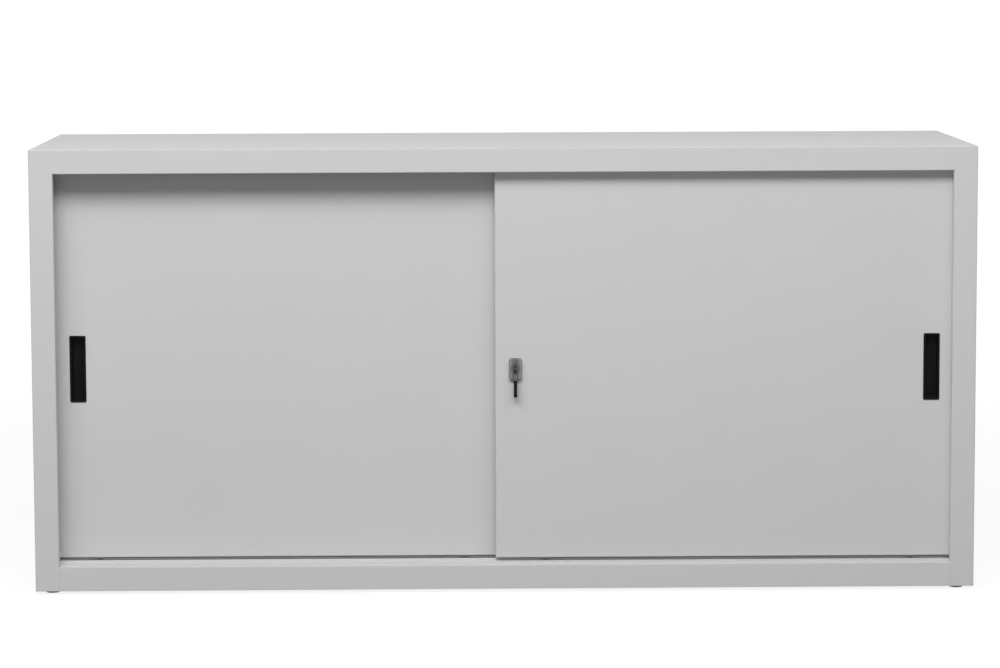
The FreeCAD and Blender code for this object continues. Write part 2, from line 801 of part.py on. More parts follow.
def gusset(sx, sy, cavity):
    """Corner plate with two upturned flanges, welded inside the corner of the base."""
    def span(s, near_edge, far_edge):
        return (min(s * near_edge, s * far_edge), max(s * near_edge, s * far_edge))
    wall_x = inner_x
    wall_y = rear_y - sheet
    x0, x1 = span(sx, wall_x - gusset_size, wall_x)
    y0, y1 = span(sy, wall_y - gusset_size, wall_y)
    plate = box(x0, x1, y0, y1, gusset_z, gusset_z + gusset_sheet)
    fx0, fx1 = span(sx, wall_x - gusset_sheet, wall_x)
    fy0, fy1 = span(sy, wall_y - gusset_sheet, wall_y)
    flange_x = box(fx0, fx1, y0, y1, gusset_z, gusset_z + gusset_flange)
    flange_y = box(x0, x1, fy0, fy1, gusset_z, gusset_z + gusset_flange)
    x, y = foot_place(sx, sy)
    hole = rod(stud_radius + running_clearance, V(x, y, gusset_z - past), Z, gusset_sheet + 2 * past)
    return fuse(plate, flange_x, flange_y).common(cavity).cut(hole)


def foot_place(sx, sy):
    return sx * (side_x - foot_inset), sy * (rear_y - foot_inset)


def levelling_foot(x, y):
    pad = rod(foot_pad_radius, V(x, y, 0), Z, foot_pad_height)
    rims = [e for e in pad.Edges if len(e.Vertexes) == 1]
    pad = pad.makeFillet(foot_dome, rims)
    neck = rod(stud_neck_radius, V(x, y, foot_pad_height / 2), Z, foot_pad_height / 2 + stud_neck)
    stud = rod(stud_radius, V(x, y, foot_pad_height / 2), Z, stud_top - foot_pad_height / 2)
    pad = pad.cut(fuse(neck, stud))
    return pad, fuse(neck, stud)


def make_feet(cavity):
    nuts = []
    for corner, (sx, sy) in foot_corners.items():
        x, y = foot_place(sx, sy)
        save(corner + "_gusset", gusset(sx, sy, cavity))
        start = V(x, y, gusset_z + gusset_sheet)
        nut = hexagon(foot_nut_flats, start, Z, foot_nut_height)
        nuts.append(nut.cut(rod(stud_radius + running_clearance, start - Z * past, Z,
                            foot_nut_height + 2 * past)))
        pad, stud = levelling_foot(x, y)
        save(corner + "_foot", Part.makeCompound([pad, stud]))
    save("foot_nuts", Part.makeCompound(nuts))


os.makedirs("parts", exist_ok=True)
cavity = make_carcass()
make_uprights()
make_shelf()
make_tracks()
make_stops()
make_doors()
make_lock()
make_key()
make_strike()
make_feet(cavity)
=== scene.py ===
# %% [markdown]
# # A low steel cabinet with two sliding doors
#
# The construction comes ready made: folded panels, doors, tracks, running gear, lock and feet,
# each piece in a node of its own and at its real size. This file dresses it. Every surface gets
# the finish that such a piece has from its factory, and the moulded and turned pieces, whose
# roundings catch the light, are modelled again as surfaces worked out with numpy.
#
# Lengths are metres, in the cabinet's own frame: +X is its width, +Y goes from the front to the
# back, +Z is up, and the floor is at z = 0.

import json
import math

import bpy
import numpy as np
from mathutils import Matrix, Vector


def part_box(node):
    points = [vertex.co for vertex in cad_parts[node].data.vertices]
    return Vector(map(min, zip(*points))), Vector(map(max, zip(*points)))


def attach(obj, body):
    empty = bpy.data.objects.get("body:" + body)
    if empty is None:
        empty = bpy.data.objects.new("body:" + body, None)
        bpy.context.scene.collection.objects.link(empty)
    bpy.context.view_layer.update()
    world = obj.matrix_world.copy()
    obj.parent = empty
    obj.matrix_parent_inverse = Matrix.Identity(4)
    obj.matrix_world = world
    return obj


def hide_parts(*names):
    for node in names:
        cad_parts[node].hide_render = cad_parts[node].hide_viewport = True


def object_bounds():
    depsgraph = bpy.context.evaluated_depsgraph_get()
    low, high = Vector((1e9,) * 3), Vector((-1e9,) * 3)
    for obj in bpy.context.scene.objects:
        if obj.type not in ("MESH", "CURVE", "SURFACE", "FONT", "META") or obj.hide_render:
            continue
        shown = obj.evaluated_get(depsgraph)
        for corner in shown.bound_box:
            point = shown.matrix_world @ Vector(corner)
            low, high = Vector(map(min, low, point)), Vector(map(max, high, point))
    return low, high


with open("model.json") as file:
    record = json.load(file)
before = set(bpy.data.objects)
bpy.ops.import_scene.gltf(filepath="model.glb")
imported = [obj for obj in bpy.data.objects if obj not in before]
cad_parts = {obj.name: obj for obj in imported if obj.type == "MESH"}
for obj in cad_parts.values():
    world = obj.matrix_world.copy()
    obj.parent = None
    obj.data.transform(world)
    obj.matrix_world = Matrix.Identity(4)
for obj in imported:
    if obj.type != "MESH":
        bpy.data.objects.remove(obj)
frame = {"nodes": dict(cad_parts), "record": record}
nodes = frame["nodes"]
cad_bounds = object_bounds()
mm = 0.001

# %% [markdown]
# ## The camera
#
# A product picture of furniture is taken from far away with a long lens, so that upright lines
# stay upright and the far end isn't much smaller than the near end. The camera stands 5.5 m in
# front of the doors, a little above the top panel, and looks slightly down. It could be aimed
# with a Track To constraint. Plain numbers are used, because they can be read back and changed.

# %% Camera
camera_place = (-0.08791, -5.75232, 1.02428)
camera_turn_degrees = (83.6994, 0.2031, -0.8584)
camera_lens = 126.03
sensor_width = 36.0

camera_data = bpy.data.cameras.new("camera")
camera_data.lens = camera_lens
camera_data.sensor_width = sensor_width
camera = bpy.data.objects.new("camera", camera_data)
camera.location = camera_place
camera.rotation_euler = [math.radians(turn) for turn in camera_turn_degrees]
bpy.context.scene.collection.objects.link(camera)
bpy.context.scene.camera = camera
bpy.context.scene.view_settings.view_transform = "Standard"

# %% [markdown]
# ## The studio light
#
# Sheet steel with a satin paint shows only as well as its light is soft. One big light would do,
# but the shade in the door recess tells how wide it has to be: under the top rail it fades over
# some 20 mm, and beside the left stile over 50 mm. So the key light is a wide arc of five panels,
# all at one elevation, stronger on the left than on the right.
#
# Three low panels fill in. Two of them stand behind the plane of the doors, light the ends and the
# back, and add nothing to the front. The third is weak and in front, and lifts the shadows of the
# top rail and the lock a little.

# %% Softboxes
aim_height = 0.35
aim = Vector((0.0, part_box("right_door_panel")[0].y, aim_height))


def softbox(name, azimuth, elevation, distance, size, power):
    """A rectangle of light, aimed at the doors.

    Azimuth and elevation are in degrees. Azimuth 0 is straight in front, and + is to the right.
    Along x the way to the light is sin(azimuth) cos(elevation), along y it is minus
    cos(azimuth) cos(elevation), and along z sin(elevation).
    """
    around, up = math.radians(azimuth), math.radians(elevation)
    level = math.cos(up)
    towards = Vector((math.sin(around) * level, -math.cos(around) * level, math.sin(up)))
    data = bpy.data.lights.new(name, "AREA")
    data.shape = "RECTANGLE"
    data.size, data.size_y = size
    data.energy = power
    light = bpy.data.objects.new(name, data)
    light.location = aim + towards * distance
    light.rotation_euler = (-towards).to_track_quat("-Z", "Y").to_euler()
    light.visible_camera = False
    bpy.context.scene.collection.objects.link(light)
    return light


key_elevation = 49.0
key_distance = 4.6
key_power = 46.8
key_panel = (1.45, 1.60)
key_shares = {-48: 1.00, -24: 1.40, 0: 1.50, 24: 0.55, 48: 0.70}
for azimuth, share in key_shares.items():
    softbox("key_panel", azimuth, key_elevation, key_distance, key_panel, key_power * share)

fill_elevation = 6.0
fill_distance = 4.5
fill_panel = (3.0, 0.8)
fill_powers = {-120: 70.0, -8: 15.0, 120: 100.0}
for azimuth, power in fill_powers.items():
    softbox("fill_panel", azimuth, fill_elevation, fill_distance, fill_panel, power)
print("softboxes:", len(key_shares) + len(fill_powers))

# %% [markdown]
# ## World and floor
#
# The surroundings have two jobs. What the lens, a polished metal or a piece of glass sees is pure
# white, as in a studio with a white sweep. What lights the paint is much weaker, so that the
# recess under the top rail stays dark. Light Path tells the two kinds of ray apart.
#
# The floor is one large sheet with no wall, because a wall would stand in the way of a view from
# behind. It has two greys as well: a darker one for the light that it throws back on the cabinet,
# and a pale one to be seen. A veil of white lies over the pale one. It is thinner near the
# cabinet, where it leaves the shadow, and closes further out, where the floor meets the white
# surroundings. The underside is clear, for a view from below.

# %% World
world_grey = 0.135


def seen_directly(tree):
    """1 for rays from the lens, a mirror or glass, and 0 for those that light a surface."""
    path = tree.nodes.new("ShaderNodeLightPath")
    seen = path.outputs["Is Camera Ray"]
    for other in ("Is Glossy Ray", "Is Transmission Ray"):
        either = tree.nodes.new("ShaderNodeMath")
        either.operation = "MAXIMUM"
        tree.links.new(seen, either.inputs[0])
        tree.links.new(path.outputs[other], either.inputs[1])
        seen = either.outputs[0]
    return seen


def blend_shaders(tree, factor, first, second):
    """The second shader by the factor, and the first by the rest of it."""
    mixed = tree.nodes.new("ShaderNodeMixShader")
    for socket, source in zip(mixed.inputs, (factor, first, second)):
        tree.links.new(source, socket)
    return mixed.outputs[0]


world = bpy.data.worlds.new("studio")
bpy.context.scene.world = world
world.use_nodes = True
sky = world.node_tree
sky.nodes.clear()
shades = []
for grey in (world_grey, 1.0):
    background = sky.nodes.new("ShaderNodeBackground")
    background.inputs["Color"].default_value = (grey, grey, grey, 1.0)
    shades.append(background.outputs[0])
sky_output = sky.nodes.new("ShaderNodeOutputWorld")
sky.links.new(blend_shaders(sky, seen_directly(sky), *shades), sky_output.inputs["Surface"])

# %% Floor
floor_half = 60.0
floor_bounce = 0.20
floor_pale = 0.80
floor_white = 1.03
veil_near = 0.85
veil_start, veil_end = 1.6, 3.2

floor_mesh = bpy.data.meshes.new("floor")
corners = np.array([(-1, -1, 0), (1, -1, 0), (1, 1, 0), (-1, 1, 0)]) * floor_half
floor_mesh.from_pydata(corners.tolist(), [], [(0, 1, 2, 3)])
floor = bpy.data.objects.new("floor", floor_mesh)
bpy.context.scene.collection.objects.link(floor)

floor_material = bpy.data.materials.new("pale_floor")
floor_material.use_nodes = True
ground = floor_material.node_tree
ground.nodes.clear()
paints = []
for grey in (floor_bounce, floor_pale):
    paint = ground.nodes.new("ShaderNodeBsdfDiffuse")
    paint.inputs["Color"].default_value = (grey, grey, grey, 1.0)
    paints.append(paint.outputs[0])
bounce, pale = paints
white = ground.nodes.new("ShaderNodeEmission")
white.inputs["Strength"].default_value = floor_white
clear = ground.nodes.new("ShaderNodeBsdfTransparent")
place = ground.nodes.new("ShaderNodeTexCoord")
away = ground.nodes.new("ShaderNodeVectorMath")
away.operation = "LENGTH"
ground.links.new(place.outputs["Object"], away.inputs[0])
veil = ground.nodes.new("ShaderNodeMapRange")
veil.interpolation_type = "SMOOTHSTEP"
veil_range = {"From Min": veil_start, "From Max": veil_end, "To Min": veil_near, "To Max": 1.0}
for name, value in veil_range.items():
    veil.inputs[name].default_value = value
ground.links.new(away.outputs["Value"], veil.inputs["Value"])
veiled = blend_shaders(ground, veil.outputs[0], pale, white.outputs[0])
upper = blend_shaders(ground, seen_directly(ground), bounce, veiled)
side = ground.nodes.new("ShaderNodeNewGeometry")
both = blend_shaders(ground, side.outputs["Backfacing"], upper, clear.outputs[0])
ground_output = ground.nodes.new("ShaderNodeOutputMaterial")
ground.links.new(both, ground_output.inputs["Surface"])
floor_mesh.materials.append(floor_material)

# %% [markdown]
# ## A small kit for finishes
#
# A finish is a Principled shader with a colour, a roughness and a bump that vary over the
# surface. Image textures would need files and UV maps. Noise on Object coordinates needs neither,
# has its real size in metres, and stays on its piece when a door slides, because each piece's
# object sits at the origin and moves with its body. The class below holds the few steps that all
# the recipes share. Numbers that are the same all over a surface stay on the shader's own socket.

# %% Finish kit
class Finish:
    """One material: a Principled shader, and short names for the nodes that feed it."""

    def __init__(self, name, metallic=0.0, specular=0.5):
        self.material = bpy.data.materials.new(name)
        self.material.use_nodes = True
        self.tree = self.material.node_tree
        self.tree.nodes.clear()
        self.shader = self.node("BsdfPrincipled")
        output = self.node("OutputMaterial")
        self.tree.links.new(self.shader.outputs["BSDF"], output.inputs["Surface"])
        self.shader.inputs["Metallic"].default_value = metallic
        self.shader.inputs["Specular IOR Level"].default_value = specular
        self.place = self.node("TexCoord").outputs["Object"]

    def node(self, kind, menu=None, **inputs):
        """Adds a node. menu sets its choices, and inputs its sockets: by a link or a value."""
        made = self.tree.nodes.new("ShaderNode" + kind)
        for choice, value in (menu or {}).items():
            setattr(made, choice, value)
        for name, value in inputs.items():
            self.give(made.inputs[name.replace("_", " ")], value)
        return made

    def give(self, socket, value):
        """Links the value to the socket where it is one itself, and writes it there otherwise."""
        if isinstance(value, bpy.types.NodeSocket):
            self.tree.links.new(value, socket)
        elif socket.type == "RGBA":
            socket.default_value = (*value[:3], 1.0)
        else:
            socket.default_value = value

    def math(self, operation, *values):
        """The result of a Math node."""
        made = self.node("Math", {"operation": operation})
        for socket, value in zip(made.inputs, values):
            self.give(socket, value)
        return made.outputs[0]

    def vector(self, operation, *values):
        """The result of a Vector Math node."""
        made = self.node("VectorMath", {"operation": operation})
        for socket, value in zip(made.inputs, values):
            self.give(socket, value)
        return made.outputs["Value" if operation == "LENGTH" else "Vector"]

    def split(self, vector):
        """The three parts of a vector."""
        return self.node("SeparateXYZ", Vector=vector).outputs

    def noise(self, lumps, detail=1.0, stretch=(1.0, 1.0, 1.0)):
        """Smooth noise around 0.5, with lumps per metre, drawn out where the stretch is small."""
        place = self.node("Mapping", Vector=self.place, Scale=stretch).outputs[0]
        return self.node("TexNoise", Vector=place, Scale=lumps, Detail=detail).outputs["Fac"]

    def fade(self, value, start, end, low=0.0, high=1.0):
        """low where value is at start, high where it is at end, with a soft S between them."""
        made = self.node("MapRange", {"interpolation_type": "SMOOTHSTEP"}, Value=value,
                         From_Min=start, From_Max=end, To_Min=low, To_Max=high)
        return made.outputs[0]

    def mix(self, factor, first, second):
        """The colour that lies a factor of the way from the first to the second."""
        made = self.node("Mix", {"data_type": "RGBA"})
        for index, value in ((0, factor), (6, first), (7, second)):
            self.give(made.inputs[index], value)
        return made.outputs[2]

    def near(self, centre, reach):
        """1 at a point, fading to 0 a reach away."""
        away = self.vector("LENGTH", self.vector("SUBTRACT", self.place, centre))
        return self.fade(away, reach, 0.0)

    def edges(self, corners, reach):
        """1 on the edges of a box, fading to 0 a reach away, unevenly.

        A point has three distances to the box's pairs of faces. On a face the least is zero, and
        on an edge two are, so the middle one of the three tells how near the edge is.
        """
        low, high = corners
        offset = self.vector("ABSOLUTE", self.vector("SUBTRACT", self.place, (low + high) / 2))
        x, y, z = self.split(self.vector("SUBTRACT", (high - low) / 2, offset))
        middle = self.math("MAXIMUM", self.math("MINIMUM", x, y),
                           self.math("MINIMUM", self.math("MAXIMUM", x, y), z))
        uneven = self.math("MULTIPLY_ADD", self.noise(90.0, 3.0), reach, middle)
        return self.fade(uneven, 1.5 * reach, 0.4 * reach)

    def bump(self, height, depth, under=None):
        """A relief of that depth in metres, on top of another one."""
        made = self.node("Bump", Height=height, Distance=depth)
        if under is not None:
            self.give(made.inputs["Normal"], under)
        return made.outputs[0]

    def done(self, colour, roughness, normal):
        """Feeds the shader and hands over the material."""
        for name, value in (("Base Color", colour), ("Roughness", roughness), ("Normal", normal)):
            self.give(self.shader.inputs[name], value)
        return self.material


def tone(colour, factor):
    """The colour, lighter or darker by a factor."""
    return tuple(factor * part for part in colour)


# %% [markdown]
# ## Powder coat
#
# The panels are steel sheet with a light grey powder coat. The powder melts into a skin with a
# fine orange peel of one to three millimetres, over a sheet that is never quite flat. Bends are
# painted a shade darker, as painted shade that tones down their highlight, most of all on the
# ledge that the doors pass over, and so is the front of that ledge. Edges are painted darker too,
# partly as wear and partly as painted shade, and hands polish the paint around a pull. Faces that
# look up are painted a darker grey, partly a dusty film and partly painted shade that keeps the top
# no brighter than the front. All of that is faint on a new cabinet, and all of it is here: without
# it, a flat panel looks like a sheet of paper.
#
# Where panels meet, the factory leaves marks under the paint: a shallow seam in the front frame,
# below each corner of the opening, and rows of spot welds on the rear flanges.

# %% Powder coat
paint_grey = (0.600, 0.600, 0.597)
paint_specular = 0.22
paint_roughness = 0.60
# Painted shade, in part: the strengths below darken faces that look up, the bends, and the front of
# the ledge.
dust_and_top_shade = 0.45
bend_shade = 0.37
ledge_bend_shade = 1.0
dust_and_top_shade_grey = (0.455, 0.453, 0.448)
peel_depth = 0.045 * mm
flatness_depth = 1.2 * mm
edge_reach = 2.5 * mm
touch_reach = 110.0 * mm
# Where the painted shade on the front of the ledge begins and ends, from the front.
ledge_shade_start, ledge_shade_end = 17.0 * mm, 3.0 * mm
seam_half = 2.2 * mm
seam_depth = 0.12 * mm
weld_pitch = 90.0 * mm
weld_inset = 8.0 * mm
weld_rim, weld_floor = 3.2 * mm, 1.8 * mm
weld_depth = 0.25 * mm
front_reach, rear_reach = 1.0 * mm, 0.3 * mm
opening_half = abs(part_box("left_side_panel")[1].x)
touched = {
    "left_door_panel": ("left_door_pull",),
    "right_door_panel": ("right_door_pull", "lock_housing"),
}
print("inner edges of the stiles at x = +-", round(opening_half, 4))


def middle(node):
    """The middle of a node's box."""
    low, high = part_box(node)
    return (low + high) / 2


def ledge_front_shade(finish, upward):
    """Painted-shade mask: 1 on the ledge's front, fading out towards the doors, where the face
    looks up.
    """
    y, front = finish.split(finish.place)[1], cad_bounds[0][1]
    near = finish.fade(y, front + ledge_shade_start, front + ledge_shade_end)
    return finish.math("MULTIPLY", near, finish.fade(upward, 0.3, 0.8))


def seam(finish):
    """1 along the two joints between the bottom rail and the stiles, on the front face."""
    x, y, z = finish.split(finish.place)
    across = finish.math("SUBTRACT", finish.math("ABSOLUTE", x), opening_half)
    line = finish.fade(finish.math("ABSOLUTE", across), seam_half, 0.0)
    front = finish.math("LESS_THAN", y, cad_bounds[0][1] + front_reach)
    return finish.math("MULTIPLY", line, front)


def spot_welds(finish, node):
    """Dimples at an even pitch along the middle of the node's rear flange.

    Along the flange, the place modulo the pitch, less half a pitch, is the way to the nearest
    weld. With the way across the flange, it gives the distance by Pythagoras.
    """
    low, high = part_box(node)
    x, y, z = finish.split(finish.place)
    if high.z - low.z > high.x - low.x:
        line = low.x + weld_inset if low.x < 0 else high.x - weld_inset
        along, across = z, finish.math("SUBTRACT", x, line)
    else:
        half_way_up = (cad_bounds[0][2] + cad_bounds[1][2]) / 2
        line = high.z - weld_inset if low.z > half_way_up else low.z + 2.5 * weld_inset
        along, across = x, finish.math("SUBTRACT", z, line)
    step = finish.math("SUBTRACT", finish.math("FLOORED_MODULO", along, weld_pitch), weld_pitch / 2)
    away = finish.math("SQRT", finish.math("ADD", finish.math("MULTIPLY", step, step),
                                           finish.math("MULTIPLY", across, across)))
    dimple = finish.fade(away, weld_rim, weld_floor)
    rear = finish.math("GREATER_THAN", y, cad_bounds[1][1] - rear_reach)
    return finish.math("MULTIPLY", dimple, rear)


def powder_coat(node):
    """Grey that drifts, with flecks, then edges, upward faces and bends, over a sheet and its peel.

    A bend is where the surface looks neither up nor sideways: with the normal's z from 0 to 1,
    twice z less 1 is -1 or 1 on a flat panel, and 0 on the middle of a bend. Bends are painted
    darker as painted shade; edges and faces that look up are painted darker partly as wear and a
    dusty film and partly as painted shade.
    """
    finish = Finish(node + "_paint", specular=paint_specular)
    sheet = finish.noise(2.3)
    drift = finish.noise(7.0, 3.0)
    peel = finish.noise(430.0, 1.5)
    fleck = finish.fade(finish.noise(1500.0), 0.62, 0.80, high=0.22)
    rub = finish.edges(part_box(node), edge_reach)
    colour = finish.mix(drift, tone(paint_grey, 0.978), tone(paint_grey, 1.022))
    colour = finish.mix(fleck, colour, tone(paint_grey, 0.80))
    # The edges are painted darker: partly wear, partly painted shade that tones down their
    # highlight.
    colour = finish.mix(finish.math("MULTIPLY", rub, 0.5), colour, tone(paint_grey, 0.84))
    gloss = finish.math("MULTIPLY", rub, 0.04)
    for place in touched.get(node, ()):
        touch = finish.near(middle(place), touch_reach)
        polish = finish.math("MULTIPLY", touch, finish.noise(25.0, 4.0))
        gloss = finish.math("MULTIPLY_ADD", polish, 0.30, gloss)
    upward = finish.split(finish.node("TexCoord").outputs["Normal"])[2]
    # Faces that look up are painted darker: partly a dusty film, partly painted shade that keeps
    # the top no brighter than the front.
    colour = finish.mix(finish.fade(upward, 0.80, 0.98, high=dust_and_top_shade), colour, dust_and_top_shade_grey)
    flat = finish.math("ABSOLUTE", finish.math("MULTIPLY_ADD", upward, 2.0, -1.0))
    # Painted shade on the bends, strongest on the ledge of the base, against the highlight of the
    # key light.
    bend = finish.fade(flat, 0.95, 0.45, high=ledge_bend_shade if node == "base_panel" else bend_shade)
    colour = finish.mix(bend, colour, tone(paint_grey, 0.70))
    relief = finish.bump(sheet, flatness_depth)
    relief = finish.bump(peel, peel_depth, relief)
    if node == "base_panel":
        # Painted shade along the front of the ledge, darker towards its front bend.
        tread = finish.math("MULTIPLY", ledge_front_shade(finish, upward), 0.65)
        colour = finish.mix(tread, colour, tone(paint_grey, 0.78))
        joint = seam(finish)
        colour = finish.mix(finish.math("MULTIPLY", joint, 0.5), colour, tone(paint_grey, 0.90))
        relief = finish.bump(finish.math("MULTIPLY", joint, -1.0), seam_depth, relief)
    if node in ("base_panel", "top_panel", "left_side_panel", "right_side_panel"):
        dimple = spot_welds(finish, node)
        colour = finish.mix(finish.math("MULTIPLY", dimple, 0.4), colour, tone(paint_grey, 0.86))
        relief = finish.bump(finish.math("MULTIPLY", dimple, -1.0), weld_depth, relief)
    spread = finish.fade(drift, 0.3, 0.7, paint_roughness - 0.03, paint_roughness + 0.03)
    return finish.done(colour, finish.math("SUBTRACT", spread, gloss), relief)


# %% [markdown]
# ## Black mouldings, nylon and rubber
#
# Moulded parts copy the surface of their tool. The pulls have a fine spark-eroded grain, as most
# black hardware has. Their rim is painted lighter, partly because the grain wears bright there
# first, where fingers rub, and partly as a painted highlight on its rounded edge. The door guides
# are nylon in its natural off-white, with a faint cloudiness where the melt cooled, and the wheels
# are nylon that is filled with graphite. Rubber is the roughest of them and shows no clear
# highlight at all.

# %% Plastics and rubber
def black_plastic(node):
    """Near black, smeared along its height, with a fine grain, and a rim painted lighter: wear and
    highlight.
    """
    finish = Finish(node + "_moulding", specular=0.09)
    grain = finish.noise(1600.0, 2.0)
    smear = finish.noise(60.0, 3.0, (1.0, 1.0, 0.25))
    rub = finish.edges(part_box(node), 1.2 * mm)
    colour = finish.mix(smear, (0.0030, 0.0030, 0.0032), (0.0052, 0.0052, 0.0055))
    # The rim is painted lighter: partly wear of the grain, partly a painted highlight on its
    # rounded edge.
    colour = finish.mix(finish.math("MULTIPLY", rub, 0.6), colour, (0.026, 0.026, 0.027))
    roughness = finish.math("MULTIPLY_ADD", smear, -0.18, 0.66)
    roughness = finish.math("MULTIPLY_ADD", rub, -0.14, roughness)
    return finish.done(colour, roughness, finish.bump(grain, 0.05 * mm))


def nylon(node):
    """Off-white, from one cloudy noise, with specks of dirt where a finer noise peaks."""
    finish = Finish(node + "_nylon", specular=0.45)
    cloud = finish.noise(140.0, 3.0)
    grain = finish.noise(1100.0, 2.0)
    colour = finish.mix(cloud, (0.68, 0.665, 0.61), (0.77, 0.76, 0.71))
    dirt = finish.fade(finish.noise(320.0, 4.0), 0.55, 0.75, high=0.25)
    colour = finish.mix(dirt, colour, (0.42, 0.41, 0.38))
    relief = finish.bump(grain, 0.02 * mm)
    return finish.done(colour, finish.fade(cloud, 0.3, 0.7, 0.34, 0.46), relief)


def wheel_nylon(node):
    """Nylon filled with graphite, as running wheels are: grey, and dusty where it rolls."""
    finish = Finish(node + "_grey_nylon", specular=0.35)
    cloud = finish.noise(140.0, 3.0)
    grain = finish.noise(1100.0, 2.0)
    lint = finish.fade(finish.noise(320.0, 4.0), 0.55, 0.75, high=0.4)
    colour = finish.mix(cloud, (0.205, 0.205, 0.203), (0.245, 0.245, 0.243))
    colour = finish.mix(lint, colour, (0.30, 0.30, 0.29))
    relief = finish.bump(grain, 0.02 * mm)
    return finish.done(colour, finish.fade(cloud, 0.3, 0.7, 0.40, 0.52), relief)


def rubber(node):
    """Black with a grey bloom, and rough all over."""
    finish = Finish(node + "_rubber", specular=0.25)
    grain = finish.noise(2200.0, 3.0)
    bloom = finish.noise(90.0, 4.0)
    colour = finish.mix(bloom, (0.016, 0.016, 0.016), (0.034, 0.034, 0.033))
    relief = finish.bump(grain, 0.06 * mm)
    return finish.done(colour, finish.fade(bloom, 0.3, 0.7, 0.78, 0.92), relief)


def foot_plastic(node):
    """Dark grey, scuffed in the lowest 1.6 mm."""
    finish = Finish(node + "_pad", specular=0.35)
    cloud = finish.noise(120.0, 3.0)
    grain = finish.noise(1500.0, 2.0)
    scuff = finish.fade(finish.split(finish.place)[2], 1.6 * mm, 0.0, high=0.5)
    colour = finish.mix(cloud, (0.19, 0.19, 0.19), (0.23, 0.23, 0.23))
    colour = finish.mix(scuff, colour, (0.13, 0.125, 0.12))
    relief = finish.bump(grain, 0.04 * mm)
    return finish.done(colour, finish.fade(cloud, 0.3, 0.7, 0.50, 0.62), relief)


# %% [markdown]
# ## Bare and plated metal
#
# Metal takes its colour from its plating and its character from how it was worked. Zinc plate is
# cloudy, half bluish and half straw. Axles and rivets are bright nickel, with hair scratches along
# their length. The key is plated in black nickel, rubbed to grey, and its pivot is painted dark as
# a painted shade for the recess of the plug. The angles of the upper track were pressed through a
# die, which leaves fine lines along them. A die-cast lock body is blasted and then plated, so it is
# satin. It is painted darker around the cylinder and lighter towards its sides, a painted
# reflection, and lighter still on its edges, partly wear and partly a painted highlight. The plug
# is painted lighter towards its sides in the same way. Lines are noise that is squeezed across and
# drawn out along the direction of the work.

# %% Metals
def zinc_steel(node):
    """Clouds between blue and straw, dulled by the distance to the nearest crystal."""
    finish = Finish(node + "_zinc", metallic=1.0)
    cloud = finish.noise(70.0, 4.0)
    crystal = finish.node("TexVoronoi", Vector=finish.place, Scale=260.0).outputs["Distance"]
    colour = finish.mix(cloud, (0.50, 0.52, 0.55), (0.60, 0.585, 0.53))
    colour = finish.mix(finish.math("MULTIPLY", crystal, 0.25), colour, (0.42, 0.42, 0.41))
    relief = finish.bump(finish.noise(900.0, 2.0), 0.02 * mm)
    return finish.done(colour, finish.fade(cloud, 0.3, 0.7, 0.34, 0.46), relief)


def bright_steel(node):
    """Noise that is squeezed across and drawn out 20 times along z: hair scratches."""
    finish = Finish(node + "_nickel", metallic=1.0)
    hair = finish.noise(500.0, 2.0, (3.0, 3.0, 0.15))
    cloud = finish.noise(150.0, 3.0)
    colour = finish.mix(cloud, (0.58, 0.57, 0.545), (0.66, 0.65, 0.625))
    relief = finish.bump(hair, 0.012 * mm)
    return finish.done(colour, finish.fade(hair, 0.35, 0.65, 0.20, 0.32), relief)


def black_nickel(node):
    """Black nickel, painted darkest at the key's pivot as painted shade, and rubbed to grey below
    it.
    """
    finish = Finish(node + "_black_nickel", metallic=1.0)
    cloud = finish.noise(150.0, 3.0)
    rub = finish.edges(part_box(node), 0.6 * mm)
    colour = finish.mix(cloud, (0.105, 0.105, 0.107), (0.135, 0.135, 0.136))
    colour = finish.mix(finish.math("MULTIPLY", rub, 0.4), colour, (0.19, 0.19, 0.188))
    height = finish.split(finish.place)[2]
    pivot = middle("key_pin").z
    # The pivot is painted dark: a painted shade for the recess of the plug around it.
    pivot_shade = finish.fade(height, pivot - 11.0 * mm, pivot - 5.0 * mm)
    colour = finish.mix(pivot_shade, colour, (0.040, 0.040, 0.041))
    relief = finish.bump(finish.noise(500.0, 2.0, (3.0, 3.0, 0.15)), 0.012 * mm)
    return finish.done(colour, finish.fade(cloud, 0.3, 0.7, 0.34, 0.44), relief)


def aluminium_track(node):
    """Lines along x, from noise that is drawn out 250 times."""
    finish = Finish(node + "_mill_finish", metallic=1.0)
    lines = finish.noise(600.0, 3.0, (0.004, 1.0, 1.0))
    cloud = finish.noise(12.0, 3.0)
    colour = finish.mix(cloud, (0.60, 0.605, 0.615), (0.68, 0.685, 0.69))
    relief = finish.bump(lines, 0.03 * mm)
    return finish.done(colour, finish.fade(lines, 0.3, 0.7, 0.30, 0.48), relief)


def die_cast(node):
    """Painted reflection: dark about the cylinder, lighter with the distance from it along x, and
    on the edges.
    """
    finish = Finish(node + "_satin_nickel", metallic=1.0)
    blast = finish.noise(2600.0, 2.0)
    cloud = finish.noise(180.0, 3.0)
    rub = finish.edges(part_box(node), 1.0 * mm)
    x = finish.split(finish.vector("SUBTRACT", finish.place, middle(node)))[0]
    # Painted reflection: lighter towards the sides, darker about the cylinder.
    painted_side_sheen = finish.fade(finish.math("ABSOLUTE", x), 1.0 * mm, 9.0 * mm)
    colour = finish.mix(painted_side_sheen, (0.088, 0.088, 0.090), (0.190, 0.190, 0.193))
    colour = finish.mix(finish.math("MULTIPLY", cloud, 0.15), colour, (0.24, 0.24, 0.24))
    # Edges painted lighter: partly wear, partly a painted highlight.
    colour = finish.mix(finish.math("MULTIPLY", rub, 0.35), colour, (0.24, 0.24, 0.236))
    roughness = finish.math("MULTIPLY_ADD", rub, 0.05, finish.fade(cloud, 0.3, 0.7, 0.46, 0.54))
    return finish.done(colour, roughness, finish.bump(blast, 0.025 * mm))


